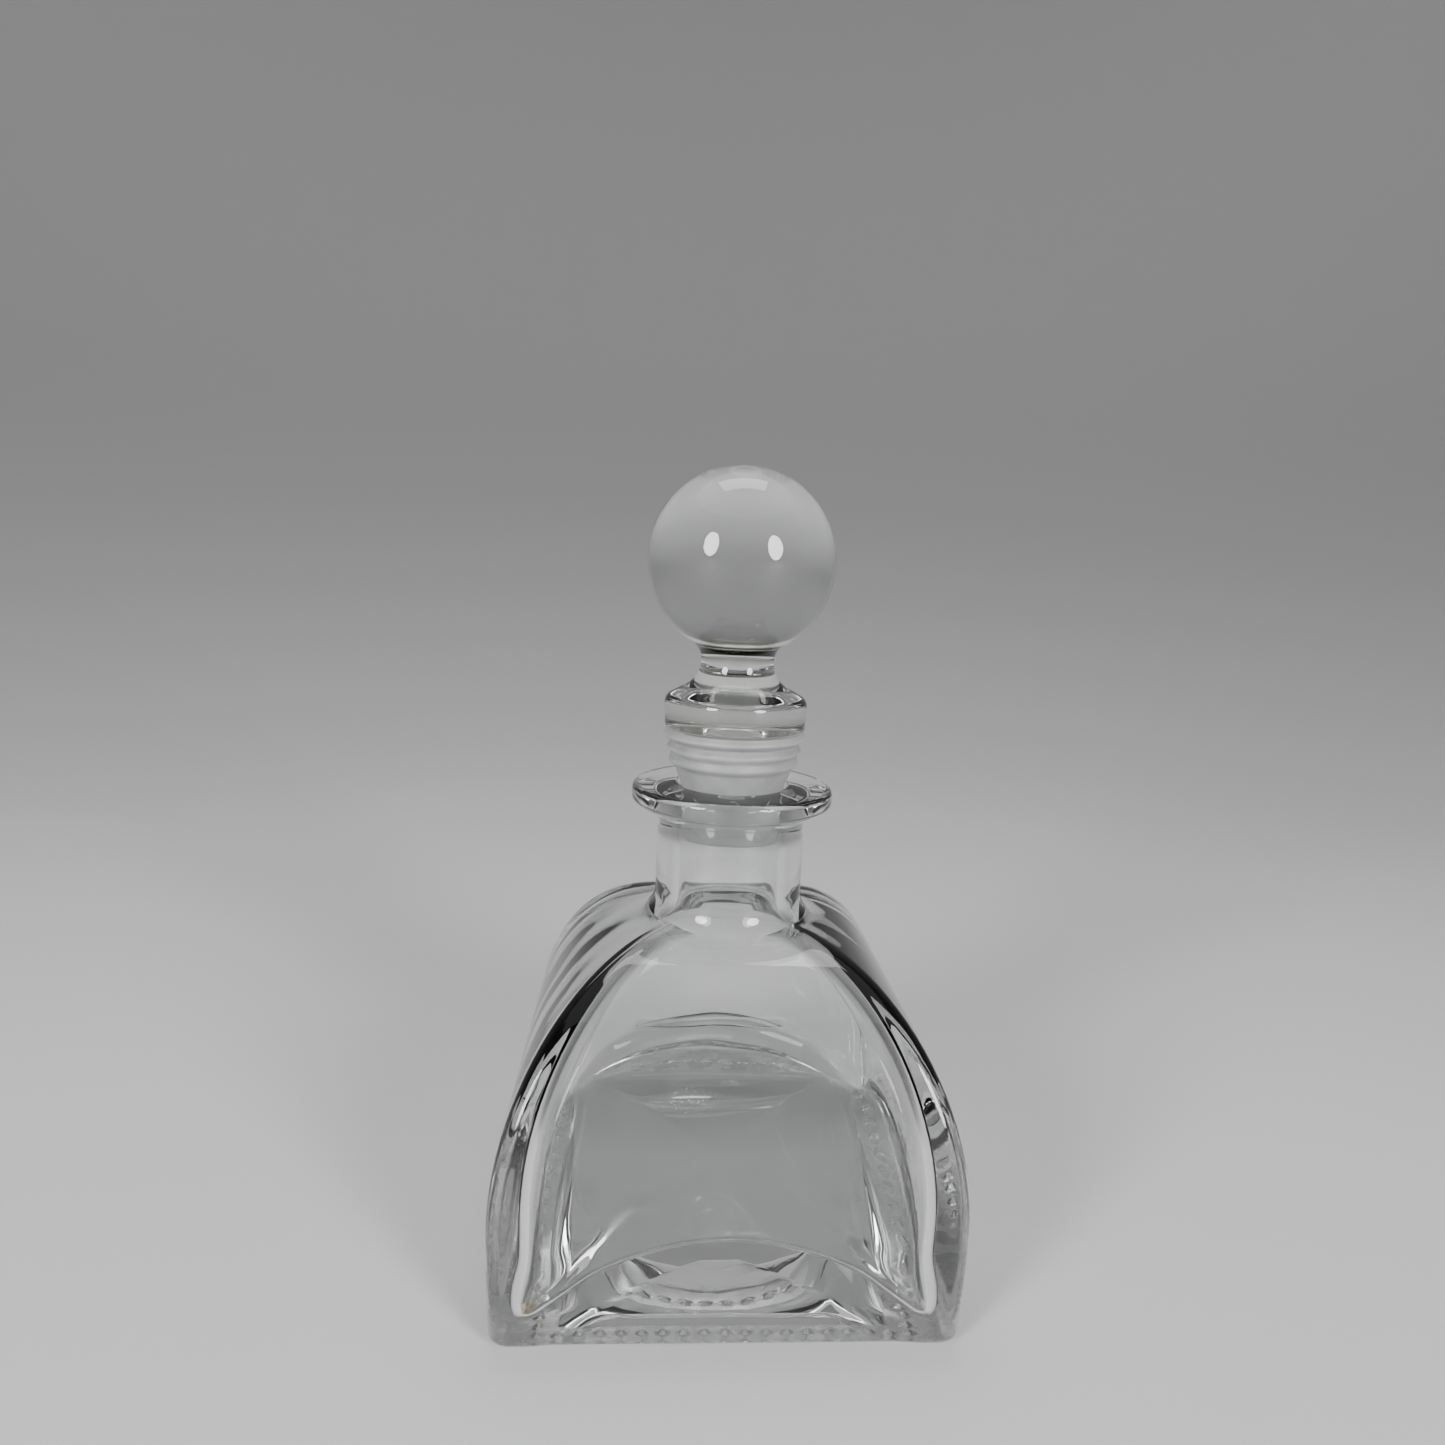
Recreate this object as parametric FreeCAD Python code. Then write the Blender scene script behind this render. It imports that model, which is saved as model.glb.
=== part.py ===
"""Square glass aftershave bottle, closed by a glass ball stopper in a finned plastic seal.

Millimetres, +Z up. The origin is the middle of the base, on the plane that the bottle stands on.
Outlines are drawn in the XZ plane: a round piece turns one about Z, and the square body is the part
that two straight bars of one outline, crossing at right angles, have in common.
"""
import FreeCAD, Part
import math
import os

V = FreeCAD.Vector
ORIGIN = V(0, 0, 0)
AXIS = V(0, 0, 1)
FULL_TURN = 360
QUARTER_TURN = 90
SIDES = 4

OVERSHOOT = 1.0     # how far a cutting solid runs past what it cuts
TOLERANCE = 0.01

# Body: square in plan, with upright sides and elliptical shoulders.
BODY_HALF = 36.1
SIDE_DRAFT = 0.4
SHOULDER_START_Z = 18.6
SHOULDER_RISE = 39.0
SHOULDER_RUN = 27.5
RIDGE_RADIUS = 2.5
BASE_EDGE_RADIUS = 2.4

# Cavity: the same form inside the walls, over a pillow-shaped floor that falls away into the corners.
WALL = 4.3
CAVITY_DRAFT = 0.2
ROOF_DROP = 3.0
ROOF_NARROWING = 3.2
CAVITY_RIDGE_RADIUS = 4.0
FLOOR_WALL_Z = 16.1         # height of the floor at the middle of each wall
FLOOR_CROWN = 2.5
FLOOR_CORNER_DROP = 13.0
FLOOR_BLEND = 1.5
FLOOR_GRID = 9

# Base: a hollow underside, and a row of small dimples round the ring that it stands on.
PUSH_UP_HALF = 25.5
PUSH_UP_DEPTH = 1.8
DIMPLE_ROW_HALF = 28.6
DIMPLE_SPACES = 18
DIMPLE_WIDTH = 1.9
DIMPLE_DEPTH = 0.4

# Neck and flange.
NECK_RADIUS = 12.6
BORE_RADIUS = 8.6
NECK_FOOT_Z = 60.9
NECK_FOOT_FILLET = 5.0
NECK_FOOT_TURN = math.radians(58)
NECK_FOOT_SKIRT = 3.0
FLANGE_RADIUS = 17.1
FLANGE_TOP_Z = 79.4
FLANGE_RIM_HEIGHT = 3.3
FLANGE_EDGE_RADIUS = 1.0
FLANGE_UNDERSIDE_DROP = 2.2
MOUTH_EDGE_RADIUS = 1.2

# Seal: it wedges in the mouth, with its fins above the flange.
SEAL_TOP_Z = 88.8
SEAL_TOP_RADIUS = 11.6
SEAL_FIN_PITCH = 2.2
SEAL_FIN_RADII = (12.1, 11.4, 11.0)
SEAL_NOTCH_RADII = (10.7, 10.7, 10.0)
SEAL_TOP_FIN_HEIGHT = 2.1
SEAL_TIP_DEPTH = 1.05
SEAL_SEAT_Z = 78.3
SEAL_SEAT_CLEARANCE = 0.1
SEAL_TAIL_Z = 70.9
SEAL_TAIL_RADIUS = 7.5
SEAL_TAIL_EDGE = 0.6

# Stopper: ball, waist, collar and a spigot that turns in the seal.
BALL_RADIUS = 15.6
BALL_CENTRE_Z = 116.9
WAIST_RADIUS = 6.13
WAIST_Z = 100.4
WAIST_FOOT_RADIUS = 5.0
WAIST_FOOT_TURN = math.radians(62)
COLLAR_RADIUS = 12.05
COLLAR_TAPER = 0.15
COLLAR_EDGE_RADIUS = 1.8
COLLAR_BOTTOM_EDGE = 0.6
COLLAR_GAP = 0.1
SPIGOT_RADIUS = 6.3
SPIGOT_LENGTH = 14.5
SPIGOT_EDGE = 0.8
SPIGOT_CLEARANCE = 0.05


def at(radius, height):
    """A point of an outline, in the XZ plane."""
    return V(radius, 0, height)


def line(start, end):
    return Part.LineSegment(start, end).toShape()


def arc(start, middle, end):
    return Part.Arc(start, middle, end).toShape()


def turned_arc(centre, radius, first, last):
    """Arc about a centre between two angles, counted from +X towards +Z."""
    points = []
    for angle in (first, (first + last) / 2, last):
        points.append(centre + at(radius * math.cos(angle), radius * math.sin(angle)))
    return arc(*points)


def quarter_ellipse(centre, run, rise):
    """Quarter of an upright ellipse, from its top down to its outermost point."""
    ellipse = Part.Ellipse(centre + at(0, rise), centre + at(run, 0), centre)
    return Part.ArcOfEllipse(ellipse, 0, math.pi / 2).toShape()


def face_of(edges):
    return Part.Face(Part.Wire(Part.__sortEdges__(edges)))


def revolved(edges):
    """Solid of revolution about Z, from a closed outline on one side of the axis."""
    return face_of(edges).revolve(ORIGIN, AXIS, FULL_TURN)


def crossed(half_outline, half_width):
    """Square form: two crossing bars of one symmetric outline, cut down to what they share."""
    reach = half_width + OVERSHOOT
    mirrored = [edge.mirror(ORIGIN, V(1, 0, 0)) for edge in half_outline]
    face = face_of(half_outline + mirrored)
    face.translate(V(0, -reach, 0))
    bar = face.extrude(V(0, 2 * reach, 0))
    crossing_bar = bar.copy()
    crossing_bar.rotate(ORIGIN, AXIS, QUARTER_TURN)
    return bar.common(crossing_bar)


def ridges(shape):
    """Edges where two neighbouring sides of a crossed form meet, above the plan's diagonals."""
    found = []
    for edge in shape.Edges:
        on_diagonal = all(abs(abs(v.X) - abs(v.Y)) < TOLERANCE for v in edge.Vertexes)
        if on_diagonal and edge.BoundBox.ZLength > TOLERANCE:
            found.append(edge)
    return found


def bottle_form(half, draft, run, rise, ridge_radius):
    """Body-shaped solid from Z = 0 up: bowed side, elliptical shoulder and rounded ridges."""
    shoulder_z = SHOULDER_START_Z
    side_foot = at(half - draft, 0)
    side_middle = at(half - draft / 4, shoulder_z / 2)      # bows as a parabola would
    shoulder_centre = at(half - run, shoulder_z)
    roof_edge = shoulder_centre + at(0, rise)
    outline = [
        line(ORIGIN, side_foot),
        arc(side_foot, side_middle, at(half, shoulder_z)),
        quarter_ellipse(shoulder_centre, run, rise),
        line(roof_edge, at(0, roof_edge.z)),
    ]
    form = crossed(outline, half)
    return form.makeFillet(ridge_radius, ridges(form))


def neck_foot_point(radius):
    """End of the fillet that leads from a wall of the neck out into the shoulder."""
    reach = NECK_FOOT_FILLET + NECK_RADIUS - radius
    drop = reach * math.sin(NECK_FOOT_TURN)
    return at(radius + reach * (1 - math.cos(NECK_FOOT_TURN)), NECK_FOOT_Z - drop)


def neck_skirt_point(radius):
    """End of the straight skirt that carries on from the fillet until it is inside the shoulder."""
    slope = math.pi / 2 - NECK_FOOT_TURN
    reach = at(NECK_FOOT_SKIRT * math.cos(slope), -NECK_FOOT_SKIRT * math.sin(slope))
    return neck_foot_point(radius) + reach


def neck_foot_arc(radius):
    """The fillets of the outer wall and the bore share a centre, so the glass keeps its thickness."""
    reach = NECK_FOOT_FILLET + NECK_RADIUS - radius
    return turned_arc(at(radius + reach, NECK_FOOT_Z), reach, math.pi, math.pi + NECK_FOOT_TURN)


def neck_and_flange():
    """Solid neck, from a skirt inside the shoulder to the top of the flange."""
    skirt = neck_skirt_point(NECK_RADIUS)
    top = FLANGE_TOP_Z
    edge = FLANGE_EDGE_RADIUS
    rim_bottom = top - FLANGE_RIM_HEIGHT
    underside_inner = at(NECK_RADIUS, rim_bottom - FLANGE_UNDERSIDE_DROP)
    underside_outer = at(FLANGE_RADIUS - edge, rim_bottom)
    return revolved([
        line(at(0, skirt.z), skirt),
        line(skirt, neck_foot_point(NECK_RADIUS)),
        neck_foot_arc(NECK_RADIUS),
        line(at(NECK_RADIUS, NECK_FOOT_Z), underside_inner),
        line(underside_inner, underside_outer),
        turned_arc(underside_outer + at(0, edge), edge, -math.pi / 2, 0),
        line(at(FLANGE_RADIUS, rim_bottom + edge), at(FLANGE_RADIUS, top - edge)),
        turned_arc(at(FLANGE_RADIUS - edge, top - edge), edge, 0, math.pi / 2),
        line(at(FLANGE_RADIUS - edge, top), at(0, top)),
        line(at(0, top), at(0, skirt.z)),
    ])


def bore():
    """Space inside the neck, flared at its foot and rounded at the mouth."""
    skirt = neck_skirt_point(BORE_RADIUS)
    edge = MOUTH_EDGE_RADIUS
    top = FLANGE_TOP_Z
    above = top + OVERSHOOT
    return revolved([
        line(at(0, skirt.z), skirt),
        line(skirt, neck_foot_point(BORE_RADIUS)),
        neck_foot_arc(BORE_RADIUS),
        line(at(BORE_RADIUS, NECK_FOOT_Z), at(BORE_RADIUS, top - edge)),
        turned_arc(at(BORE_RADIUS + edge, top - edge), edge, math.pi, math.pi / 2),
        line(at(BORE_RADIUS + edge, top), at(BORE_RADIUS + edge, above)),
        line(at(BORE_RADIUS + edge, above), at(0, above)),
        line(at(0, above), at(0, skirt.z)),
    ])


def floor_height(x, y):
    """Height of the cavity's floor: a low crown, with a drop that grows towards the four corners."""
    reach = BODY_HALF - WALL
    u = x / reach
    v = y / reach
    return FLOOR_WALL_Z + FLOOR_CROWN * (1 - u ** 2 - v ** 2) - FLOOR_CORNER_DROP * (u * v) ** 2


def floor_block():
    """Solid under the curved floor, wider and deeper than the cavity."""
    reach = BODY_HALF - WALL + OVERSHOOT
    steps = [reach * (2 * place / (FLOOR_GRID - 1) - 1) for place in range(FLOOR_GRID)]
    surface = Part.BSplineSurface()
    surface.interpolate([[V(x, y, floor_height(x, y)) for y in steps] for x in steps])
    return surface.toShape().extrude(V(0, 0, -FLOOR_WALL_Z - FLOOR_CROWN))


def on_floor(edge):
    middle = edge.valueAt((edge.FirstParameter + edge.LastParameter) / 2)
    return abs(middle.z - floor_height(middle.x, middle.y)) < TOLERANCE


def cavity():
    """Space for the liquid: an inner body form over the floor, with a small blend where they meet."""
    inner = bottle_form(
        BODY_HALF - WALL, CAVITY_DRAFT,
        SHOULDER_RUN - ROOF_NARROWING, SHOULDER_RISE - ROOF_DROP, CAVITY_RIDGE_RADIUS)
    space = inner.cut(floor_block())
    return space.makeFillet(FLOOR_BLEND, [edge for edge in space.Edges if on_floor(edge)])


def push_up():
    """Shallow pillow-shaped hollow under the base."""
    radius = (PUSH_UP_HALF ** 2 + PUSH_UP_DEPTH ** 2) / (2 * PUSH_UP_DEPTH)
    crown = at(0, PUSH_UP_DEPTH)
    shoulder = PUSH_UP_HALF / 2
    shoulder_z = PUSH_UP_DEPTH - radius + math.sqrt(radius ** 2 - shoulder ** 2)
    corner = at(PUSH_UP_HALF, 0)
    below = at(PUSH_UP_HALF, -OVERSHOOT)
    outline = [
        arc(crown, at(shoulder, shoulder_z), corner),
        line(corner, below),
        line(below, at(0, below.z)),
    ]
    return crossed(outline, PUSH_UP_HALF)


def dimples():
    """One square row of shallow spherical dimples in the ring that the bottle stands on."""
    radius = (DIMPLE_WIDTH ** 2 / 4 + DIMPLE_DEPTH ** 2) / (2 * DIMPLE_DEPTH)
    pitch = 2 * DIMPLE_ROW_HALF / DIMPLE_SPACES
    balls = []
    for side in range(SIDES):
        for place in range(DIMPLE_SPACES):
            centre = V(place * pitch - DIMPLE_ROW_HALF, -DIMPLE_ROW_HALF, DIMPLE_DEPTH - radius)
            ball = Part.makeSphere(radius, centre)
            ball.rotate(ORIGIN, AXIS, QUARTER_TURN * side)
            balls.append(ball)
    return Part.makeCompound(balls)


def make_bottle():
    body = bottle_form(BODY_HALF, SIDE_DRAFT, SHOULDER_RUN, SHOULDER_RISE, RIDGE_RADIUS)
    base_edges = [edge for edge in body.Edges if edge.BoundBox.ZMax < TOLERANCE]
    body = body.makeFillet(BASE_EDGE_RADIUS, base_edges)
    body = body.fuse(neck_and_flange())
    body = body.cut(cavity().fuse(bore()))
    body = body.cut(push_up())
    return body.cut(dimples()).removeSplitter()


def seal_outline():
    """Outer outline of the seal, from its top inner edge down to the end of its tail."""
    bore_radius = SPIGOT_RADIUS + SPIGOT_CLEARANCE
    seat = at(BORE_RADIUS - SEAL_SEAT_CLEARANCE, SEAL_SEAT_Z)
    notches = [at(SEAL_NOTCH_RADII[0], SEAL_TOP_Z - SEAL_TOP_FIN_HEIGHT)]
    for count, radius in enumerate(SEAL_NOTCH_RADII[1:], start=1):
        notches.append(at(radius, notches[0].z - count * SEAL_FIN_PITCH))
    shoulder = at(SEAL_TOP_RADIUS, SEAL_TOP_Z)
    starts = [shoulder] + notches[:-1]
    edges = [line(at(bore_radius, SEAL_TOP_Z), shoulder)]
    for start, tip_radius, end in zip(starts, SEAL_FIN_RADII, notches):
        edges.append(arc(start, at(tip_radius, start.z - SEAL_TIP_DEPTH), end))
    tail_edge = at(SEAL_TAIL_RADIUS - SEAL_TAIL_EDGE, SEAL_TAIL_Z + SEAL_TAIL_EDGE)
    edges.append(line(notches[-1], seat))
    edges.append(line(seat, tail_edge + at(SEAL_TAIL_EDGE, 0)))
    edges.append(turned_arc(tail_edge, SEAL_TAIL_EDGE, 0, -math.pi / 2))
    edges.append(line(at(tail_edge.x, SEAL_TAIL_Z), at(bore_radius, SEAL_TAIL_Z)))
    return edges


def make_seal():
    bore_radius = SPIGOT_RADIUS + SPIGOT_CLEARANCE
    inner_wall = line(at(bore_radius, SEAL_TAIL_Z), at(bore_radius, SEAL_TOP_Z))
    return revolved(seal_outline() + [inner_wall])


def make_stopper():
    """One piece of glass, drawn from the top of the ball down to the end of the spigot."""
    ball_centre = at(0, BALL_CENTRE_Z)
    waist = at(WAIST_RADIUS, WAIST_Z)

    # The arc under the ball touches both the ball and the narrowest point of the waist.
    lift = BALL_CENTRE_Z - WAIST_Z
    neck_arc = (WAIST_RADIUS ** 2 + lift ** 2 - BALL_RADIUS ** 2) / (2 * (BALL_RADIUS - WAIST_RADIUS))
    neck_centre = waist + at(neck_arc, 0)
    to_neck = neck_centre - ball_centre
    touch_angle = math.atan2(to_neck.z, to_neck.x)

    # Below the waist an arc runs out into a straight slope, which ends in the collar's rounded edge.
    foot_centre = waist + at(WAIST_FOOT_RADIUS, 0)
    foot_end_angle = math.pi + WAIST_FOOT_TURN
    foot_end = foot_centre + at(
        WAIST_FOOT_RADIUS * math.cos(foot_end_angle), WAIST_FOOT_RADIUS * math.sin(foot_end_angle))
    slope = math.pi / 2 - WAIST_FOOT_TURN
    edge_x = COLLAR_RADIUS - COLLAR_EDGE_RADIUS
    edge_z = foot_end.z - (edge_x - foot_end.x) * math.tan(slope) - COLLAR_EDGE_RADIUS / math.cos(slope)
    edge_centre = at(edge_x, edge_z)
    slope_end = edge_centre + at(COLLAR_EDGE_RADIUS * math.sin(slope), COLLAR_EDGE_RADIUS * math.cos(slope))

    collar_bottom_z = SEAL_TOP_Z + COLLAR_GAP
    low_edge = at(COLLAR_RADIUS - COLLAR_TAPER - COLLAR_BOTTOM_EDGE, collar_bottom_z + COLLAR_BOTTOM_EDGE)
    spigot_z = SEAL_TOP_Z - SPIGOT_LENGTH
    spigot_edge = at(SPIGOT_RADIUS - SPIGOT_EDGE, spigot_z + SPIGOT_EDGE)
    ball_top = at(0, BALL_CENTRE_Z + BALL_RADIUS)
    return revolved([
        turned_arc(ball_centre, BALL_RADIUS, math.pi / 2, touch_angle),
        turned_arc(neck_centre, neck_arc, touch_angle + math.pi, math.pi),
        turned_arc(foot_centre, WAIST_FOOT_RADIUS, math.pi, foot_end_angle),
        line(foot_end, slope_end),
        turned_arc(edge_centre, COLLAR_EDGE_RADIUS, math.pi / 2 - slope, 0),
        line(edge_centre + at(COLLAR_EDGE_RADIUS, 0), low_edge + at(COLLAR_BOTTOM_EDGE, 0)),
        turned_arc(low_edge, COLLAR_BOTTOM_EDGE, 0, -math.pi / 2),
        line(at(low_edge.x, collar_bottom_z), at(SPIGOT_RADIUS, collar_bottom_z)),
        line(at(SPIGOT_RADIUS, collar_bottom_z), at(SPIGOT_RADIUS, spigot_edge.z)),
        turned_arc(spigot_edge, SPIGOT_EDGE, 0, -math.pi / 2),
        line(at(spigot_edge.x, spigot_z), at(0, spigot_z)),
        line(at(0, spigot_z), ball_top),
    ])


def main():
    os.makedirs("parts", exist_ok=True)
    pieces = {
        "glass_bottle": make_bottle(),
        "stopper_seal": make_seal(),
        "ball_stopper": make_stopper(),
    }
    for name, shape in pieces.items():
        solid = shape.Solids[0]
        print(name, "valid:", solid.isValid(), "solids:", len(shape.Solids), "mm3:", round(solid.Volume))
        solid.exportStep("parts/" + name + ".step")


main()
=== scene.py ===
import math

import bpy
import numpy as np
from mathutils import Matrix, Vector, noise


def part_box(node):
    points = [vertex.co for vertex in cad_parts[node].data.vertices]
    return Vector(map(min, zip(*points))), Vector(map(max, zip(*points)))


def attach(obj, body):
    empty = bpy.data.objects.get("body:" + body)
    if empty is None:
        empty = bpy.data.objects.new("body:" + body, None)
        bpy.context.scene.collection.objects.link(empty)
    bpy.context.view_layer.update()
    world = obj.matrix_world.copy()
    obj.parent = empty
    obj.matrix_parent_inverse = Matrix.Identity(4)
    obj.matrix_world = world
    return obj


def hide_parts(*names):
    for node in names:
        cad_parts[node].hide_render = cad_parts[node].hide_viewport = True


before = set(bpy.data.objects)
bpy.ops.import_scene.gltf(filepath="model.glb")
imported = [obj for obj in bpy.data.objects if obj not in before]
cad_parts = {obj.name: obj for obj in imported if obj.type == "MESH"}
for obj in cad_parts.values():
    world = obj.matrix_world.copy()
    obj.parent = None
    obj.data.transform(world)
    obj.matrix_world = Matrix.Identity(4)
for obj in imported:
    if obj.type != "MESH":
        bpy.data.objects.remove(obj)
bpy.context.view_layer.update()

MM = 0.001
FULL_TURN = 2 * math.pi
QUARTER_TURN = math.pi / 2

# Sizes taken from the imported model, in metres.
bottle_low, bottle_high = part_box("glass_bottle")
seal_low, seal_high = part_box("stopper_seal")
stopper_low, stopper_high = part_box("ball_stopper")
BODY_HALF = bottle_high.x
FLANGE_TOP = bottle_high.z
SEAL_TOP = seal_high.z
SEAL_TAIL = seal_low.z
BALL_RADIUS = stopper_high.x
BALL_CENTRE = stopper_high.z - BALL_RADIUS
SPIGOT_END = stopper_low.z

# Bottle: shape details that the boxes don't give.
SIDE_DRAFT = 0.4 * MM
SHOULDER_START = 18.6 * MM
SHOULDER_RISE = 39 * MM
SHOULDER_RUN = 27.5 * MM
RIDGE_RADIUS = 2.5 * MM
BASE_EDGE = 2.4 * MM
WALL = 4.3 * MM
CAVITY_RISE = 36 * MM
CAVITY_RUN = 24.3 * MM
CAVITY_RIDGE = 4 * MM
FLOOR_WALL = 16.1 * MM       # height of the floor at the middle of each wall
FLOOR_CROWN = 2.5 * MM
FLOOR_CORNER_DROP = 13 * MM
FLOOR_BLEND = 1.5 * MM
BACK_BLEND = 5 * MM          # the blend is wider in the middle of the back
BACK_FOCUS = 3               # how quickly the blend narrows away from there
CORNER_FLARE = 1.4 * MM
WAVE_HEIGHT = 0.22 * MM
WAVE_LENGTH = 13 * MM
WAVES_AROUND = 3.0           # radius of the circle of noise that the waves are read from
SEAM_HEIGHT = 0.14 * MM
PUSH_UP_HALF = 25.5 * MM
PUSH_UP_DEPTH = 1.8 * MM
BASE_LIFT = 0.3 * MM
LIFT_REACH = 8 * MM          # height at which the lift of the base has died away
DIMPLE_ROW = 28.6 * MM
DIMPLE_SPACES = 18
DIMPLE_WIDTH = 1.9 * MM
DIMPLE_DEPTH = 0.7 * MM
NECK_RADIUS = 12.6 * MM
BORE_RADIUS = 8.6 * MM
NECK_FOOT = 60.9 * MM
NECK_FILLET = 5 * MM
NECK_TURN = math.radians(58)
NECK_BLEND = 1.6 * MM        # how softly the shoulder runs into the foot of the neck
SKIRT_LENGTH = 3 * MM
FLANGE_RADIUS = 17.1 * MM
FLANGE_RIM = 3.3 * MM
FLANGE_EDGE = 1.0 * MM
FLANGE_DROP = 2.2 * MM
MOUTH_EDGE = 1.2 * MM

# Seal: a tail that wedges in the mouth, and fins, which are listed from the lowest up.
SEAL_BORE = 6.35 * MM
SEAL_TAIL_RADIUS = 7.5 * MM
SEAL_TAIL_EDGE = 0.6 * MM
SEAL_SEAT = 78.3 * MM
SEAL_SEAT_GAP = 0.1 * MM
SEAL_TOP_RADIUS = 11.6 * MM
NOTCH_RADII = (10.0 * MM, 10.7 * MM, 10.7 * MM)
FIN_RADII = (11.0 * MM, 11.4 * MM, 12.1 * MM)
FIN_PITCH = 2.2 * MM
TOP_FIN_HEIGHT = 2.1 * MM
FIN_SHARPNESS = 1.6

# Stopper: ball, waist, collar and spigot.
WAIST_RADIUS = 6.13 * MM
WAIST_HEIGHT = 100.4 * MM
WAIST_FOOT = 5 * MM
WAIST_TURN = math.radians(62)
COLLAR_RADIUS = 12.05 * MM
COLLAR_TAPER = 0.15 * MM
COLLAR_EDGE = 1.8 * MM
COLLAR_LOW_EDGE = 0.6 * MM
COLLAR_GAP = 0.1 * MM
SPIGOT_RADIUS = 6.3 * MM
SPIGOT_EDGE = 0.8 * MM

# How finely the pieces are divided: columns around the axis, and rings along each stretch.
BOTTLE_COLUMNS = 560
SEAL_COLUMNS = 192
STOPPER_COLUMNS = 224
STAGE_COLUMNS = 96
HOLLOW_RINGS = 7
STANDING_RINGS = 32
EDGE_RINGS = 7
SIDE_RINGS = 5
SHOULDER_RINGS = 26
NECK_FOOT_RINGS = 5
BORE_FOOT_RINGS = 7
CAVITY_SHOULDER_RINGS = 24
CAVITY_WALL_RINGS = 8
BLEND_RINGS = 8
FLOOR_RINGS = 18
FIN_RINGS = 11
SMALL_EDGE_RINGS = 6         # on each small rounded edge of the flange, seal and stopper
LONG_RUN_RINGS = 6
SHORT_RUN_RINGS = 3
NARROW_RUN_RINGS = 2
STEP_RINGS = 4               # across the flat steps of the seal and the collar
SEAL_BORE_RINGS = 8
COLLAR_EDGE_RINGS = 9
WAIST_FOOT_RINGS = 12
WAIST_NECK_RINGS = 10
BALL_RINGS = 64
STAGE_FLAT_RINGS = 6
STAGE_SWEEP_RINGS = 16

# Stage.
FLOOR_GAP = 0.1 * MM         # glass that touches the floor exactly would render black
STAGE_INNER = 0.1            # radius of the floor's innermost ring
STAGE_FLAT = 0.45
STAGE_SWEEP = 0.85
STAGE_HEIGHT = 1.7
# The paper's tone is painted light: pale near the bottle, with painted shade further off that darkens the
# backdrop.
PAPER_NEAR = (0.1, 0.6)      # distance from the bottle, and how pale the paper is there
PAPER_FAR = (1.1, 0.22)


# ---------------------------------------------------------------- ring meshes

def arc_run(centre_r, centre_z, radius, first, last, count):
    """Points of an arc in the half-plane of radius and height, angles from +R towards +Z."""
    angles = np.linspace(first, last, count)
    return [(centre_r + radius * math.cos(a), centre_z + radius * math.sin(a)) for a in angles]


def straight_run(start, end, count):
    """Points from start to end, with neither end included."""
    shares = np.linspace(0, 1, count + 2)[1:-1]
    return [(start[0] + (end[0] - start[0]) * t, start[1] + (end[1] - start[1]) * t) for t in shares]


def steps(start, end, count):
    """Evenly spaced values after start, the last of which is end."""
    return np.linspace(start, end, count + 1)[1:]


def ring_mesh(name, angles, rings, low_pole=None, high_pole=None, closed_loop=False):
    """Skin over a list of rings. Each ring is (radii, heights), one value for each angle."""
    columns = len(angles)
    cosines, sines = np.cos(angles), np.sin(angles)
    points = []
    for radii, heights in rings:
        radii = np.broadcast_to(radii, columns)
        heights = np.broadcast_to(heights, columns)
        points.append(np.stack([radii * cosines, radii * sines, heights], axis=1))
    vertices = [tuple(p) for p in np.concatenate(points)]
    faces = []
    last = len(rings) if closed_loop else len(rings) - 1
    for ring in range(last):
        here = ring * columns
        above = ((ring + 1) % len(rings)) * columns
        for column in range(columns):
            after = (column + 1) % columns
            faces.append((here + column, here + after, above + after, above + column))
    if low_pole is not None:
        pole = len(vertices)
        vertices.append((0, 0, low_pole))
        faces.extend((pole, (c + 1) % columns, c) for c in range(columns))
    if high_pole is not None:
        pole = len(vertices)
        vertices.append((0, 0, high_pole))
        top = (len(rings) - 1) * columns
        faces.extend((pole, top + c, top + (c + 1) % columns) for c in range(columns))
    mesh = bpy.data.meshes.new(name)
    mesh.from_pydata(vertices, [], faces)
    mesh.validate()
    mesh.shade_smooth()
    piece = bpy.data.objects.new(name, mesh)
    bpy.context.scene.collection.objects.link(piece)
    return piece


def round_angles(columns):
    """Directions that are evenly spaced round the axis."""
    return np.arange(columns) * FULL_TURN / columns


def smooth_step(value):
    """Smooth change from 0 to 1 as the value goes from 0 to 1."""
    value = np.clip(value, 0, 1)
    return value * value * (3 - 2 * value)


# ---------------------------------------------------------------- bottle

def square_angles(columns, half, corner):
    """Directions that are evenly spaced along the outline of a square with rounded corners."""
    samples = 20001
    fine = np.linspace(0, FULL_TURN, samples)
    radii = square_radius(fine, half, corner)
    x, y = radii * np.cos(fine), radii * np.sin(fine)
    length = np.concatenate([[0], np.cumsum(np.hypot(np.diff(x), np.diff(y)))])
    wanted = np.arange(columns) * length[-1] / columns
    return np.interp(wanted, length, fine)


def square_radius(angles, half, corner):
    """Distance from the axis to a square with rounded corners, in each direction."""
    far = np.maximum(np.abs(np.cos(angles)), np.abs(np.sin(angles)))
    near = np.minimum(np.abs(np.cos(angles)), np.abs(np.sin(angles)))
    flat = half / far
    centre = half - corner
    along = centre * (far + near)
    inside = along ** 2 - 2 * centre ** 2 + corner ** 2
    rounded = along + np.sqrt(np.maximum(inside, 0))
    return np.where(flat * near <= centre, flat, rounded)


def smooth_max(a, b, blend):
    """The larger of two values, with a soft change from one to the other."""
    share = np.clip(0.5 + 0.5 * (a - b) / blend, 0, 1)
    return b * (1 - share) + a * share + blend * share * (1 - share)


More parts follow.
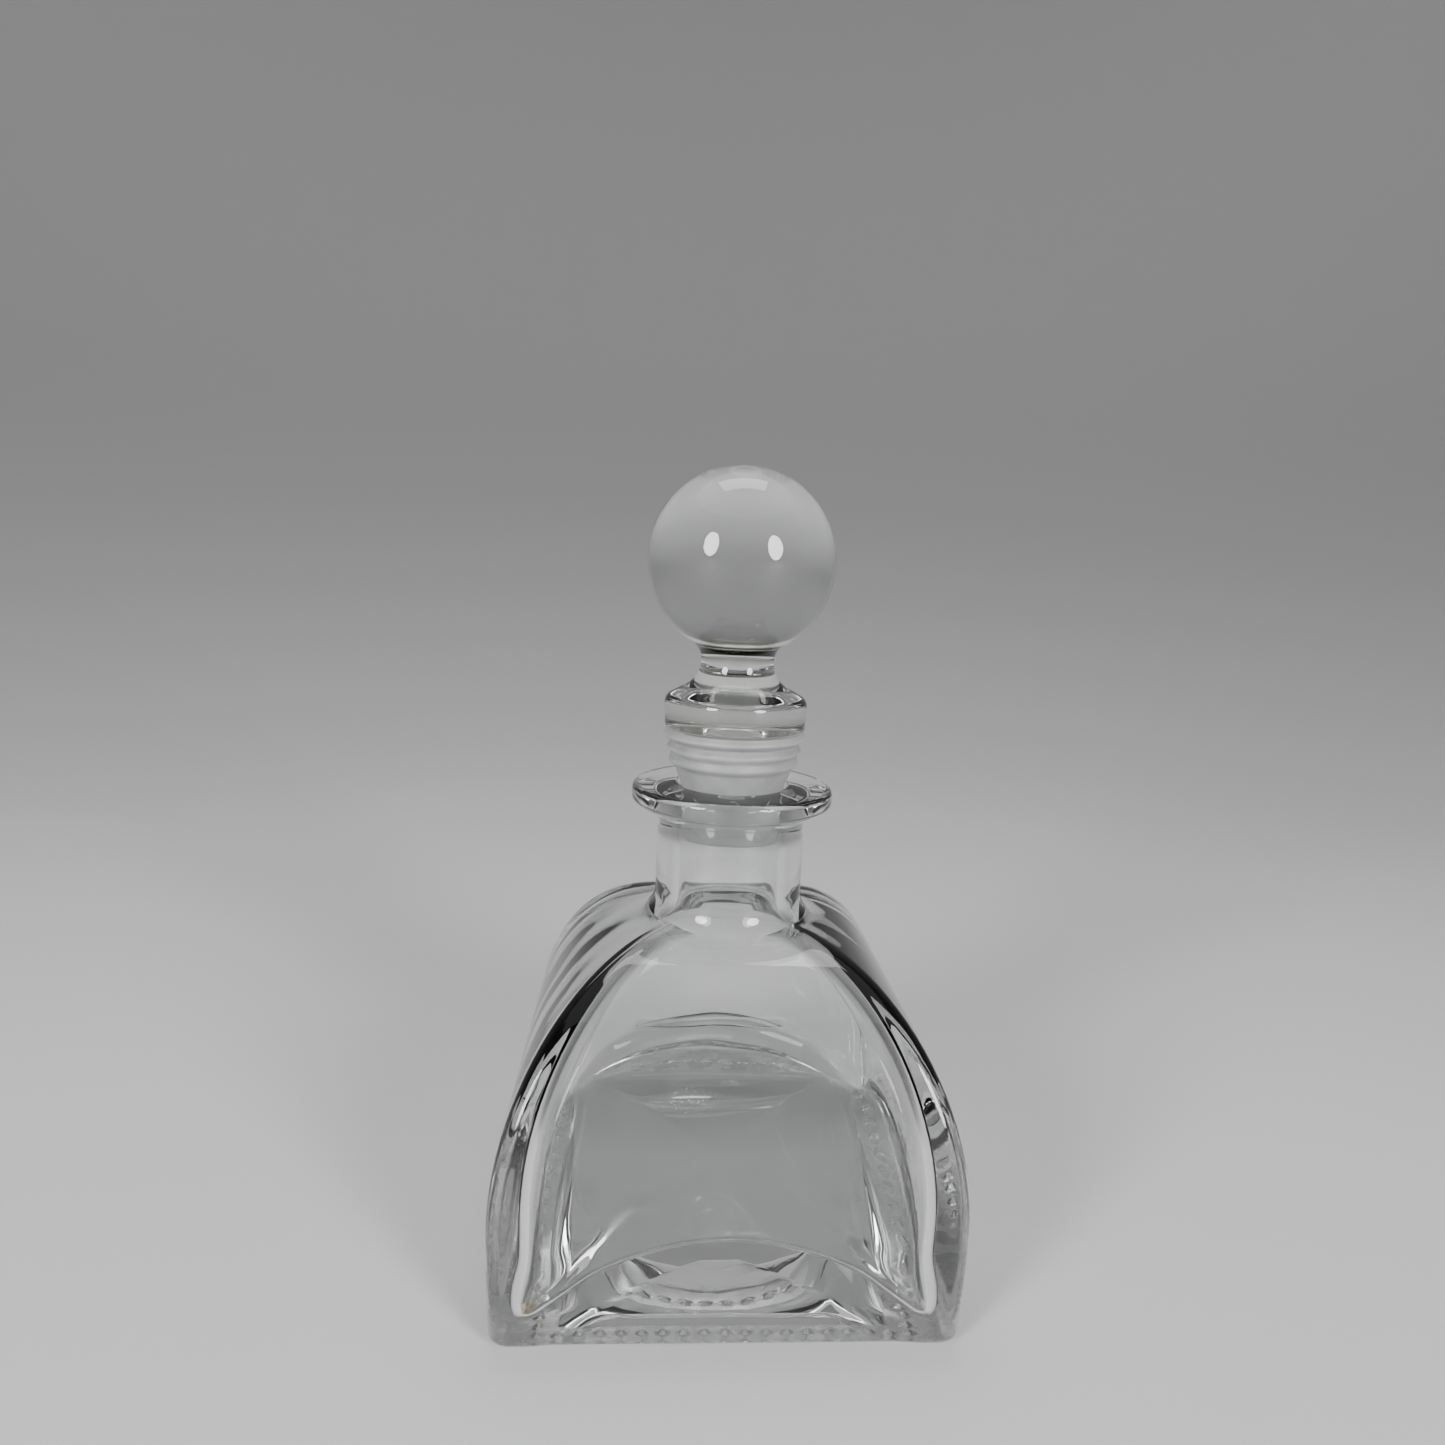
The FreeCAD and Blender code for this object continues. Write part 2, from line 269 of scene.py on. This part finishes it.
def foot_radius(z, radius):
    """Radius of the neck's wall or bore, flared below the neck's foot about a shared centre."""
    reach = NECK_FILLET + NECK_RADIUS - radius
    lowest = NECK_FOOT - reach * math.sin(NECK_TURN)
    drop = NECK_FOOT - max(z, lowest)
    if drop <= 0:
        return radius
    skirt = min(max(lowest - z, 0) * math.tan(NECK_TURN), SKIRT_LENGTH * math.sin(NECK_TURN))
    return radius + reach - math.sqrt(reach ** 2 - drop ** 2) + skirt


def dimple_depth(x, y):
    """Depth of the nearest dimple of the square row, at points on the underside."""
    pitch = 2 * DIMPLE_ROW / DIMPLE_SPACES
    depth = np.zeros_like(x)
    for across, along in ((x, y), (y, x)):
        place = np.clip(np.round((along + DIMPLE_ROW) / pitch), 0, DIMPLE_SPACES)
        gap = np.hypot(along - (place * pitch - DIMPLE_ROW), np.abs(across) - DIMPLE_ROW)
        bowl = 1 - (gap / (DIMPLE_WIDTH / 2)) ** 2
        depth = np.maximum(depth, DIMPLE_DEPTH * np.clip(bowl, 0, 1))
    return depth


def towards_corner(angles, start, end):
    """0 along the sides and 1 near the four corners. Start and end are sines of twice the angle."""
    return smooth_step((np.abs(np.sin(2 * angles)) - start) / (end - start))


def base_lift(angles, z):
    """The bottle stands on its four corners: between them its lowest part is a little higher."""
    foot = towards_corner(angles, start=0.955, end=0.995)
    return z + BASE_LIFT * (1 - foot) * np.clip(1 - z / LIFT_REACH, 0, 1)


def mould_seam(angles):
    """Height of the mould's parting line, which runs up the back right and front left ridges."""
    height = np.zeros(len(angles))
    for turn in (1 / 8, 5 / 8):
        height[round(len(angles) * turn)] = SEAM_HEIGHT
    return height


def outer_rings(angles):
    rings = []
    seam = mould_seam(angles)
    side_base = BODY_HALF - SIDE_DRAFT
    flat_half = side_base - BASE_EDGE

    # Underside: the hollow, then the ring that the bottle stands on with its dimples.
    innermost = 0.1
    for share in np.linspace(innermost, 1, HOLLOW_RINGS):
        half = PUSH_UP_HALF * share
        rings.append((square_radius(angles, half, RIDGE_RADIUS * share), PUSH_UP_DEPTH * (1 - share ** 2)))
    for half in steps(PUSH_UP_HALF, flat_half, STANDING_RINGS):
        radii = square_radius(angles, half, RIDGE_RADIUS)
        depth = dimple_depth(radii * np.cos(angles), radii * np.sin(angles))
        rings.append((radii, base_lift(angles, depth)))

    # Rounded base edge, then the slightly bowed side.
    for half, z in arc_run(flat_half, BASE_EDGE, BASE_EDGE, -QUARTER_TURN, 0, EDGE_RINGS + 1)[1:]:
        rings.append((square_radius(angles, half, RIDGE_RADIUS), base_lift(angles, z)))
    for share in steps(0, 1, SIDE_RINGS):
        z = BASE_EDGE + (SHOULDER_START - BASE_EDGE) * share
        half = BODY_HALF - SIDE_DRAFT * (1 - share) ** 2
        rings.append((square_radius(angles, half, RIDGE_RADIUS) + seam, base_lift(angles, z)))

    # Elliptical shoulder, running into the flared foot of the neck.
    for turn in steps(0, QUARTER_TURN, SHOULDER_RINGS):
        half = BODY_HALF - SHOULDER_RUN * (1 - math.cos(turn))
        z = SHOULDER_START + SHOULDER_RISE * math.sin(turn)
        body = square_radius(angles, half, RIDGE_RADIUS)
        rings.append((smooth_max(body, foot_radius(z, NECK_RADIUS), NECK_BLEND) + seam, z))
    return rings


def flange_path():
    """Outline of the neck and flange, from the shoulder's top up, over the rim and down the bore."""
    rim_bottom = FLANGE_TOP - FLANGE_RIM
    rim_r = FLANGE_RADIUS - FLANGE_EDGE
    mouth_r = BORE_RADIUS + MOUTH_EDGE
    mouth_z = FLANGE_TOP - MOUTH_EDGE
    under_inner = (NECK_RADIUS, rim_bottom - FLANGE_DROP)
    shoulder_top = SHOULDER_START + SHOULDER_RISE
    path = []
    for z in steps(shoulder_top, NECK_FOOT, NECK_FOOT_RINGS):
        path.append((foot_radius(z, NECK_RADIUS), z))
    path += straight_run((NECK_RADIUS, NECK_FOOT), under_inner, NARROW_RUN_RINGS)
    path += [under_inner]
    path += straight_run(under_inner, (rim_r, rim_bottom), SHORT_RUN_RINGS)
    path += arc_run(rim_r, rim_bottom + FLANGE_EDGE, FLANGE_EDGE, -QUARTER_TURN, 0, SMALL_EDGE_RINGS)
    path += arc_run(rim_r, FLANGE_TOP - FLANGE_EDGE, FLANGE_EDGE, 0, QUARTER_TURN, SMALL_EDGE_RINGS)
    path += straight_run((rim_r, FLANGE_TOP), (mouth_r, FLANGE_TOP), NARROW_RUN_RINGS)
    path += arc_run(mouth_r, mouth_z, MOUTH_EDGE, QUARTER_TURN, math.pi, SMALL_EDGE_RINGS)
    path += straight_run((BORE_RADIUS, mouth_z), (BORE_RADIUS, NECK_FOOT), NARROW_RUN_RINGS)
    cavity_top = SHOULDER_START + CAVITY_RISE
    for z in np.linspace(NECK_FOOT, cavity_top, BORE_FOOT_RINGS + 1)[:-1]:
        path.append((foot_radius(z, BORE_RADIUS), z))
    return path


def waves(angles, z):
    """Unevenness of the inner wall, as blowing leaves it."""
    heights = np.broadcast_to(z, len(angles)) / WAVE_LENGTH
    values = []
    for angle, height in zip(angles, heights):
        place = Vector((WAVES_AROUND * math.cos(angle), WAVES_AROUND * math.sin(angle), height))
        values.append(noise.noise(place))
    return WAVE_HEIGHT * np.array(values)


def inner_rings(angles):
    rings = []
    half_widest = BODY_HALF - WALL
    for turn in np.linspace(QUARTER_TURN, 0, CAVITY_SHOULDER_RINGS):
        half = half_widest - CAVITY_RUN * (1 - math.cos(turn))
        z = SHOULDER_START + CAVITY_RISE * math.sin(turn)
        body = square_radius(angles, half, CAVITY_RIDGE) + waves(angles, z) * math.cos(turn)
        rings.append((smooth_max(body, foot_radius(z, BORE_RADIUS), NECK_BLEND), z))

    # The wall's corners flare a little on their way down, and a blend leads to the floor.
    corner = towards_corner(angles, start=0.9, end=1.0)
    wall = square_radius(angles, half_widest, CAVITY_RIDGE)
    foot = wall + CORNER_FLARE * corner
    cosines, sines = np.cos(angles), np.sin(angles)
    towards_back = np.clip(sines, 0, 1) ** BACK_FOCUS
    blend = FLOOR_BLEND + (BACK_BLEND - FLOOR_BLEND) * (1 - corner) * towards_back
    blend_r = foot - blend
    edge_z = floor_height(blend_r * cosines, blend_r * sines)
    step = 0.1 * MM
    before_z = floor_height((blend_r - step) * cosines, (blend_r - step) * sines)
    slope = (edge_z - before_z) / step
    tilt = np.arctan(-slope)
    blend_z = edge_z + blend / np.cos(tilt)
    flare_start = 0.4
    for share in steps(0, 1, CAVITY_WALL_RINGS):
        z = SHOULDER_START + (blend_z - SHOULDER_START) * share
        radii = wall + (foot - wall) * smooth_step((share - flare_start) / (1 - flare_start))
        rings.append((radii + waves(angles, z) * (1 - share), z))
    for share in steps(0, 1, BLEND_RINGS):
        turn = -(QUARTER_TURN + tilt) * share
        rings.append((blend_r + blend * np.cos(turn), blend_z + blend * np.sin(turn)))

    # The floor takes up what little height is left between it and the blend's end.
    edge_r, edge_z = rings[-1]
    lift = edge_z - floor_height(edge_r * cosines, edge_r * sines)
    innermost = 0.05
    fading = 8
    for share in steps(1, innermost, FLOOR_RINGS):
        radii = edge_r * share
        rings.append((radii, floor_height(radii * cosines, radii * sines) + lift * share ** fading))
    return rings


def floor_height(x, y):
    """Height of the cavity's floor: a low crown, with a drop that grows towards the corners."""
    u, v = x / (BODY_HALF - WALL), y / (BODY_HALF - WALL)
    return FLOOR_WALL + FLOOR_CROWN * (1 - u ** 2 - v ** 2) - FLOOR_CORNER_DROP * (u * v) ** 2


def build_bottle():
    angles = square_angles(BOTTLE_COLUMNS, BODY_HALF, RIDGE_RADIUS)
    rings = outer_rings(angles) + flange_path() + inner_rings(angles)
    return ring_mesh("bottle_glass", angles, rings, PUSH_UP_DEPTH, FLOOR_WALL + FLOOR_CROWN)


# ---------------------------------------------------------------- seal

def fin(low, high, tip):
    """Points of one fin, from its lower notch up to just short of its upper one."""
    reach = tip - (low[0] + high[0]) / 2
    points = []
    for share in np.linspace(0, 1, FIN_RINGS + 1)[:-1]:
        base = low[0] + (high[0] - low[0]) * share
        bulge = reach * math.sin(math.pi * share) ** FIN_SHARPNESS
        points.append((base + bulge, low[1] + (high[1] - low[1]) * share))
    return points


def build_seal():
    first_notch = SEAL_TOP - TOP_FIN_HEIGHT - (len(NOTCH_RADII) - 1) * FIN_PITCH
    notches = [(radius, first_notch + place * FIN_PITCH) for place, radius in enumerate(NOTCH_RADII)]
    seat = (BORE_RADIUS - SEAL_SEAT_GAP, SEAL_SEAT)
    tail_r = SEAL_TAIL_RADIUS - SEAL_TAIL_EDGE
    tail_z = SEAL_TAIL + SEAL_TAIL_EDGE
    top_outer = (SEAL_TOP_RADIUS, SEAL_TOP)
    top_inner = (SEAL_BORE, SEAL_TOP)
    tail_inner = (SEAL_BORE, SEAL_TAIL)
    path = arc_run(tail_r, tail_z, SEAL_TAIL_EDGE, -QUARTER_TURN, 0, SMALL_EDGE_RINGS)
    path += straight_run(path[-1], seat, LONG_RUN_RINGS)
    path += [seat]
    path += straight_run(seat, notches[0], LONG_RUN_RINGS)
    for low, high, tip in zip(notches, notches[1:] + [top_outer], FIN_RADII):
        path += fin(low, high, tip)
    path += [top_outer]
    path += straight_run(top_outer, top_inner, STEP_RINGS)
    path += [top_inner]
    path += straight_run(top_inner, tail_inner, SEAL_BORE_RINGS)
    path += [tail_inner]
    return ring_mesh("seal_plastic", round_angles(SEAL_COLUMNS), path, closed_loop=True)


# ---------------------------------------------------------------- stopper

def build_stopper():
    # The arc under the ball touches both the ball and the narrowest point of the waist.
    lift = BALL_CENTRE - WAIST_HEIGHT
    neck_arc = (WAIST_RADIUS ** 2 + lift ** 2 - BALL_RADIUS ** 2) / (2 * (BALL_RADIUS - WAIST_RADIUS))
    neck_r = WAIST_RADIUS + neck_arc
    touch = math.atan2(WAIST_HEIGHT - BALL_CENTRE, neck_r)

    # Below the waist an arc runs out into a straight slope, which ends in the collar's rounded edge.
    foot_r = WAIST_RADIUS + WAIST_FOOT
    foot_end = (foot_r - WAIST_FOOT * math.cos(WAIST_TURN), WAIST_HEIGHT - WAIST_FOOT * math.sin(WAIST_TURN))
    slope = QUARTER_TURN - WAIST_TURN
    edge_r = COLLAR_RADIUS - COLLAR_EDGE
    edge_z = foot_end[1] - (edge_r - foot_end[0]) * math.tan(slope) - COLLAR_EDGE / math.cos(slope)

    collar_z = SEAL_TOP + COLLAR_GAP
    low_r = COLLAR_RADIUS - COLLAR_TAPER - COLLAR_LOW_EDGE
    low_z = collar_z + COLLAR_LOW_EDGE
    spigot_r = SPIGOT_RADIUS - SPIGOT_EDGE
    spigot_top = (SPIGOT_RADIUS, collar_z)
    innermost = 0.4
    path = [(SPIGOT_RADIUS * innermost, SPIGOT_END)]
    path += arc_run(spigot_r, SPIGOT_END + SPIGOT_EDGE, SPIGOT_EDGE, -QUARTER_TURN, 0, SMALL_EDGE_RINGS)
    path += straight_run(path[-1], spigot_top, LONG_RUN_RINGS)
    path += [spigot_top]
    path += straight_run(spigot_top, (low_r, collar_z), STEP_RINGS)
    path += arc_run(low_r, low_z, COLLAR_LOW_EDGE, -QUARTER_TURN, 0, SMALL_EDGE_RINGS)
    path += straight_run(path[-1], (COLLAR_RADIUS, edge_z), SHORT_RUN_RINGS)
    path += arc_run(edge_r, edge_z, COLLAR_EDGE, 0, QUARTER_TURN - slope, COLLAR_EDGE_RINGS)
    path += straight_run(path[-1], foot_end, SHORT_RUN_RINGS)
    path += arc_run(foot_r, WAIST_HEIGHT, WAIST_FOOT, math.pi + WAIST_TURN, math.pi, WAIST_FOOT_RINGS)
    path += arc_run(neck_r, WAIST_HEIGHT, neck_arc, math.pi, math.pi + touch, WAIST_NECK_RINGS)[1:]
    path += arc_run(0, BALL_CENTRE, BALL_RADIUS, touch, QUARTER_TURN, BALL_RINGS)[1:-1]
    return ring_mesh("stopper_glass", round_angles(STOPPER_COLUMNS), path, SPIGOT_END, stopper_high.z)


# ---------------------------------------------------------------- materials

def new_material(name):
    """Material with one principled shader, its node tree, and the shader to be filled in."""
    material = bpy.data.materials.new(name)
    material.use_nodes = True
    tree = material.node_tree
    tree.nodes.clear()
    output = tree.nodes.new("ShaderNodeOutputMaterial")
    shader = tree.nodes.new("ShaderNodeBsdfPrincipled")
    tree.links.new(shader.outputs["BSDF"], output.inputs["Surface"])
    return material, tree, shader


def grey(value):
    return (value, value, value)


def object_noise(tree, scale, detail=2.0):
    """Soft random value that is fixed to the object."""
    place = tree.nodes.new("ShaderNodeTexCoord")
    texture = tree.nodes.new("ShaderNodeTexNoise")
    texture.inputs["Scale"].default_value = scale
    texture.inputs["Detail"].default_value = detail
    tree.links.new(place.outputs["Object"], texture.inputs["Vector"])
    return texture.outputs["Fac"]


def ramp(tree, value, stops):
    """Colour that follows a value from 0 to 1, by stops of (value, colour)."""
    node = tree.nodes.new("ShaderNodeValToRGB")
    elements = node.color_ramp.elements
    while len(elements) < len(stops):
        elements.new(1.0)
    for element, (place, colour) in zip(elements, stops):
        element.position = place
        element.color = (*colour, 1.0)
    tree.links.new(value, node.inputs["Fac"])
    return node.outputs["Color"]


def bump(tree, shader, value, strength, distance):
    """Fine relief that follows a value."""
    node = tree.nodes.new("ShaderNodeBump")
    node.inputs["Strength"].default_value = strength
    node.inputs["Distance"].default_value = distance
    tree.links.new(value, node.inputs["Height"])
    tree.links.new(node.outputs["Normal"], shader.inputs["Normal"])


def position(tree):
    """Outputs "X", "Y" and "Z" of the surface point, in metres."""
    place = tree.nodes.new("ShaderNodeTexCoord")
    parts = tree.nodes.new("ShaderNodeSeparateXYZ")
    tree.links.new(place.outputs["Object"], parts.inputs["Vector"])
    return parts.outputs


def math_node(tree, operation, *values):
    node = tree.nodes.new("ShaderNodeMath")
    node.operation = operation
    for socket, value in zip(node.inputs, values):
        if isinstance(value, (int, float)):
            socket.default_value = value
        else:
            tree.links.new(value, socket)
    return node.outputs["Value"]


def fade(tree, value, start, end, first=0.0, last=1.0):
    """Smooth change from first to last as the value goes from start to end."""
    node = tree.nodes.new("ShaderNodeMapRange")
    node.interpolation_type = "SMOOTHSTEP"
    for name, number in zip(("From Min", "From Max", "To Min", "To Max"), (start, end, first, last)):
        node.inputs[name].default_value = number
    tree.links.new(value, node.inputs["Value"])
    return node.outputs["Result"]


def within(tree, value, low, high, edge):
    """1 from low to high and 0 beyond them, with a soft edge on each side."""
    above = fade(tree, value, low - edge, low + edge)
    below = fade(tree, value, high - edge, high + edge, 1.0, 0.0)
    return math_node(tree, "MULTIPLY", above, below)


def base_wear(tree):
    """1 on the scuffed ring that the bottle stands on, and 0 on its hollow, sides and dimples."""
    ring_edge = 0.4 * MM
    full_wear, no_wear = 0.5 * MM, 2.0 * MM
    dimple_reach, dimple_edge = 1.0 * MM, 0.1 * MM
    shallow, deep = BASE_LIFT + 0.02 * MM, BASE_LIFT + 0.12 * MM

    place = position(tree)
    across_x = math_node(tree, "ABSOLUTE", place["X"])
    across_y = math_node(tree, "ABSOLUTE", place["Y"])
    across = math_node(tree, "MAXIMUM", across_x, across_y)
    ring = fade(tree, across, PUSH_UP_HALF - ring_edge, PUSH_UP_HALF + ring_edge)
    low = fade(tree, place["Z"], full_wear, no_wear, 1.0, 0.0)
    off_row = math_node(tree, "ABSOLUTE", math_node(tree, "SUBTRACT", across, DIMPLE_ROW))
    beside = fade(tree, off_row, dimple_reach - dimple_edge, dimple_reach + dimple_edge)
    flat = fade(tree, place["Z"], shallow, deep, 1.0, 0.0)
    worn = math_node(tree, "MULTIPLY", ring, low)
    return math_node(tree, "MULTIPLY", worn, math_node(tree, "MAXIMUM", beside, flat))


def spot(tree, centre, radius):
    """1 near a point of the surface and 0 away from it."""
    core = 0.4 * radius
    place = tree.nodes.new("ShaderNodeTexCoord")
    gap = tree.nodes.new("ShaderNodeVectorMath")
    gap.operation = "DISTANCE"
    gap.inputs[1].default_value = centre
    tree.links.new(place.outputs["Object"], gap.inputs[0])
    return fade(tree, gap.outputs["Value"], core, radius, 1.0, 0.0)


def tinted(tree, colour, mask, tint):
    """The colour, multiplied by a tint where the mask is 1."""
    node = tree.nodes.new("ShaderNodeMix")
    node.data_type = "RGBA"
    node.blend_type = "MULTIPLY"
    tree.links.new(mask, node.inputs["Factor"])
    tree.links.new(colour, node.inputs["A"])
    node.inputs["B"].default_value = (*tint, 1.0)
    return node.outputs["Result"]


def glass(name):
    """Clear glass with a faint film, before the marks that one piece has."""
    material, tree, shader = new_material(name)
    shader.inputs["Transmission Weight"].default_value = 1.0
    shader.inputs["IOR"].default_value = 1.51
    tint_stops = [(0.3, (0.95, 0.965, 0.96)), (0.7, (0.985, 0.99, 0.985))]
    tint = ramp(tree, object_noise(tree, scale=60), tint_stops)
    film = ramp(tree, object_noise(tree, scale=180, detail=4), [(0.5, grey(0.0)), (0.8, grey(0.03))])
    bump(tree, shader, object_noise(tree, scale=90, detail=1), strength=0.15, distance=0.3 * MM)
    return material, tree, shader, tint, film


def bottle_glass():
    """Glass with a scuffed base, dried specks on the cavity's floor and a trace of residue."""
    floor_middle = (-4 * MM, 3 * MM, FLOOR_WALL + FLOOR_CROWN)
    front_left_corner = (-31.3 * MM, -31.3 * MM, 4.5 * MM)
    amber = (0.88, 0.62, 0.22)

    material, tree, shader, tint, film = glass("clear_bottle_glass")
    scratch_noise = object_noise(tree, scale=300, detail=3)
    scratches = fade(tree, scratch_noise, start=0.3, end=0.7, first=0.22, last=0.32)
    scuffed = math_node(tree, "MULTIPLY", base_wear(tree), scratches)
    specks = fade(tree, object_noise(tree, scale=2200), start=0.62, end=0.68, last=0.5)
    dried = math_node(tree, "MULTIPLY", spot(tree, floor_middle, radius=7 * MM), specks)
    marks = math_node(tree, "MAXIMUM", math_node(tree, "MAXIMUM", film, dried), scuffed)
    tree.links.new(marks, shader.inputs["Roughness"])

    patches = fade(tree, object_noise(tree, scale=700), start=0.35, end=0.55)
    residue = math_node(tree, "MULTIPLY", spot(tree, front_left_corner, radius=4.5 * MM), patches)
    tree.links.new(tinted(tree, tint, residue, amber), shader.inputs["Base Color"])
    return material


def stopper_glass():
    """Glass with a straw-coloured tint under the ball and around the collar's foot."""
    under_ball = (101.2 * MM, 105.0 * MM)
    collar_foot = (SEAL_TOP, SEAL_TOP + 1.2 * MM)
    straw = (0.95, 0.94, 0.80)

    material, tree, shader, tint, film = glass("clear_stopper_glass")
    height = position(tree)["Z"]
    for low, high in (under_ball, collar_foot):
        tint = tinted(tree, tint, within(tree, height, low, high, edge=0.5 * MM), straw)
    tree.links.new(tint, shader.inputs["Base Color"])
    tree.links.new(film, shader.inputs["Roughness"])
    return material


def seal_material():
    """Milky plastic that lets a little light through."""
    material, tree, shader = new_material("milky_polyethylene")
    shader.inputs["Transmission Weight"].default_value = 0.25
    shader.inputs["IOR"].default_value = 1.5
    shader.inputs["Subsurface Weight"].default_value = 0.5
    shader.inputs["Subsurface Radius"].default_value = (2.0, 2.0, 2.0)
    shader.inputs["Subsurface Scale"].default_value = MM
    tone_stops = [(0.3, (0.33, 0.335, 0.335)), (0.7, (0.41, 0.415, 0.41))]
    tone = ramp(tree, object_noise(tree, scale=300, detail=3), tone_stops)
    tree.links.new(tone, shader.inputs["Base Color"])
    grain = ramp(tree, object_noise(tree, scale=900, detail=3), [(0.3, grey(0.40)), (0.7, grey(0.50))])
    tree.links.new(grain, shader.inputs["Roughness"])
    bump(tree, shader, object_noise(tree, scale=500, detail=1), strength=0.03, distance=0.05 * MM)
    return material


def paper():
    """Paper with painted light: palest around the object, with painted shade growing softly with distance.
    """
    near, near_tone = PAPER_NEAR
    far, far_tone = PAPER_FAR
    material, tree, shader = new_material("paper_with_painted_falloff")
    place = position(tree)
    squares = [math_node(tree, "MULTIPLY", place[axis], place[axis]) for axis in ("X", "Y")]
    distance = math_node(tree, "SQRT", math_node(tree, "ADD", *squares))
    # Painted falloff of light: the tone darkens with distance from the bottle, as shade would.
    tone = ramp(tree, fade(tree, distance, near, far), [(0.0, grey(near_tone)), (1.0, grey(far_tone))])
    tree.links.new(tone, shader.inputs["Base Color"])
    shader.inputs["Roughness"].default_value = 0.6
    return material


# ---------------------------------------------------------------- stage, light and camera

def build_stage():
    """Round pale floor that curves up into a backdrop on every side."""
    path = [(radius, 0.0) for radius in np.linspace(STAGE_INNER, STAGE_FLAT, STAGE_FLAT_RINGS)]
    path += arc_run(STAGE_FLAT, STAGE_SWEEP, STAGE_SWEEP, -QUARTER_TURN, 0, STAGE_SWEEP_RINGS)[1:]
    path += [(STAGE_FLAT + STAGE_SWEEP, STAGE_HEIGHT)]
    rings = [(radius, z - FLOOR_GAP) for radius, z in path]
    floor = ring_mesh("floor", round_angles(STAGE_COLUMNS), rings, low_pole=-FLOOR_GAP)
    floor.data.materials.append(paper())


def area_light(name, azimuth, elevation, distance, size, power, target, shape="RECTANGLE"):
    """Flat lamp seen from the target at an azimuth (0 is the front, -Y) and elevation."""
    light = bpy.data.lights.new(name, "AREA")
    light.shape = shape
    light.size, light.size_y = size
    light.energy = power
    lamp = bpy.data.objects.new(name, light)
    a, e = math.radians(azimuth), math.radians(elevation)
    away = Vector((math.sin(a) * math.cos(e), -math.cos(a) * math.cos(e), math.sin(e)))
    lamp.location = target + away * distance
    lamp.rotation_euler = away.to_track_quat("Z", "Y").to_euler()
    bpy.context.scene.collection.objects.link(lamp)


def build_lights():
    ball = Vector((0, 0, BALL_CENTRE))
    backdrop = Vector((0, 1.3, 0.7))
    softbox = {"distance": 0.9, "size": (0.28, 0.42), "power": 9, "target": ball, "shape": "ELLIPSE"}
    area_light("softbox_left", azimuth=-43, elevation=18, **softbox)
    area_light("softbox_right", azimuth=36, elevation=16.5, **softbox)
    area_light("back_top", azimuth=180, elevation=76, distance=1.0, size=(0.6, 0.36), power=3, target=ball)
    area_light(
        "backdrop_light", azimuth=0, elevation=15, distance=0.8, size=(1.6, 0.3), power=3, target=backdrop)
    world = bpy.data.worlds.new("studio")
    world.use_nodes = True
    background = world.node_tree.nodes["Background"]
    background.inputs["Color"].default_value = (0.6, 0.6, 0.61, 1)
    background.inputs["Strength"].default_value = 1.0
    bpy.context.scene.world = world


def build_camera():
    """Camera beside the bottle's front, looking slightly down, held a little askew."""
    place = Vector((-13.75, -172.0, 118.4)) * MM
    heading, pitch, roll = math.radians(3.875), math.radians(9.43), math.radians(2.39)
    forward = Vector((
        math.sin(heading) * math.cos(pitch), math.cos(heading) * math.cos(pitch), -math.sin(pitch)))
    level = Vector((math.cos(heading), -math.sin(heading), 0))
    upright = level.cross(forward)
    right = level * math.cos(roll) + upright * math.sin(roll)
    up = upright * math.cos(roll) - level * math.sin(roll)
    camera = bpy.data.cameras.new("camera")
    camera.sensor_width = 36.0
    camera.lens = 25.66
    camera.clip_start = 0.01
    camera.clip_end = 20
    holder = bpy.data.objects.new("camera", camera)
    bpy.context.scene.collection.objects.link(holder)
    turn = Matrix((right, up, -forward)).transposed()
    holder.matrix_world = Matrix.Translation(place) @ turn.to_4x4()
    bpy.context.scene.camera = holder


build_camera()
build_lights()
build_stage()

bottle = build_bottle()
bottle.data.materials.append(bottle_glass())
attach(bottle, "bottle")
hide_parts("glass_bottle")

seal = build_seal()
seal.data.materials.append(seal_material())
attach(seal, "seal")
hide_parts("stopper_seal")

stopper = build_stopper()
stopper.data.materials.append(stopper_glass())
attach(stopper, "stopper")
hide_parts("ball_stopper")

bpy.context.view_layer.update()
